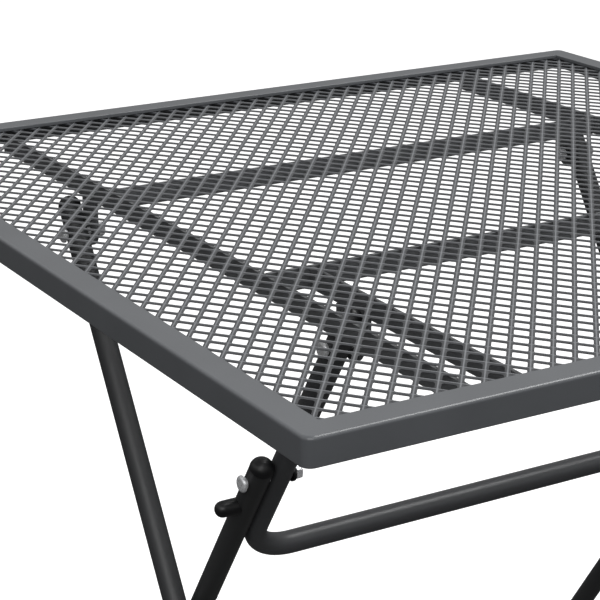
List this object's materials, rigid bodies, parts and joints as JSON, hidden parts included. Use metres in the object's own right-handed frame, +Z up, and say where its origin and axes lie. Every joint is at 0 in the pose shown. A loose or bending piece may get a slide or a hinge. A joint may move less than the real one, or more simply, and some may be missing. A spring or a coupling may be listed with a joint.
{
  "type": "folding side table",
  "caption": "Square steel folding table with a diamond mesh top, scissor legs of bent tube and a hinged stay that locks them open.",
  "frame": {"origin": "on the floor under the middle of the square top, with the table open", "axes": "+Z up; +X along the near and far edges of the top, parallel to the floor bars and hinge lines; +Y from the near edge to the far edge"},
  "size_m": [0.7, 0.7, 0.72],
  "materials": {
    "rim_coating": "satin anthracite powder coat",
    "mesh_coating": "satin anthracite powder coat on expanded metal",
    "bar_coating": "satin anthracite powder coat",
    "outer_leg_coating": "satin anthracite powder coat",
    "inner_tube_coating": "satin near-black powder coat",
    "black_plastic": "semi-gloss moulded black plastic",
    "zinc_steel": "bright zinc plate"
  },
  "bodies": {
    "tabletop": {"rim_frame": "rim_coating", "mesh_panel": "mesh_coating", "cross_bar_front": "bar_coating", "cross_bar_back": "bar_coating", "rail_left": "bar_coating", "rail_right": "bar_coating", "stub_rail_left": "bar_coating", "stub_rail_right": "bar_coating", "leg_bracket_left": "bar_coating", "leg_bracket_right": "bar_coating", "stay_bracket_left": "bar_coating", "stay_bracket_right": "bar_coating", "leg_pivot_bolt_left": "zinc_steel", "leg_pivot_bolt_right": "zinc_steel", "leg_pivot_washer_left": "black_plastic", "leg_pivot_washer_right": "black_plastic", "leg_pivot_nut_left": "zinc_steel", "leg_pivot_nut_right": "zinc_steel", "stay_pivot_bolt_left": "zinc_steel", "stay_pivot_bolt_right": "zinc_steel", "stay_pivot_washer_left": "black_plastic", "stay_pivot_washer_right": "black_plastic", "stay_pivot_nut_left": "zinc_steel", "stay_pivot_nut_right": "zinc_steel"},
    "outer_legs": {"outer_leg_frame": "outer_leg_coating", "outer_leg_cap_left": "black_plastic", "outer_leg_cap_right": "black_plastic", "outer_leg_glide_left": "black_plastic", "outer_leg_glide_right": "black_plastic", "scissor_bolt_left": "zinc_steel", "scissor_bolt_right": "zinc_steel", "scissor_washer_left": "black_plastic", "scissor_washer_right": "black_plastic", "scissor_nut_left": "zinc_steel", "scissor_nut_right": "zinc_steel"},
    "inner_legs": {"inner_leg_frame": "inner_tube_coating", "inner_leg_cap_left": "black_plastic", "inner_leg_cap_right": "black_plastic", "inner_leg_glide_left": "black_plastic", "inner_leg_glide_right": "black_plastic", "link_bolt_left": "zinc_steel", "link_bolt_right": "zinc_steel", "stop_peg_left": "black_plastic", "stop_peg_right": "black_plastic"},
    "stay": {"stay_frame": "inner_tube_coating", "stay_cap_left": "black_plastic", "stay_cap_right": "black_plastic", "link_washer_left": "black_plastic", "link_washer_right": "black_plastic", "link_nut_left": "zinc_steel", "link_nut_right": "zinc_steel"}
  },
  "joints": [
    {"name": "leg_fold", "type": "hinge", "parent": "tabletop", "child": "outer_legs", "pos_m": [0, 0.17512, 0.6735], "axis": [-1, 0, 0], "range_deg": [0, 54.47]},
    {"name": "scissor_fold", "type": "hinge", "parent": "outer_legs", "child": "inner_legs", "pos_m": [0, 0.0198, 0.423], "axis": [1, 0, 0], "range_deg": [0, 109.3]},
    {"name": "stay_swing", "type": "hinge", "parent": "tabletop", "child": "stay", "pos_m": [0, -0.14219, 0.6763], "axis": [-1, 0, 0], "range_deg": [0, 116.56]}
  ],
  "couplings": [
    {"joint": "scissor_fold", "follows": "leg_fold", "ratio": 2.0063},
    {"joint": "stay_swing", "follows": "leg_fold", "ratio": 2.1395}
  ]
}
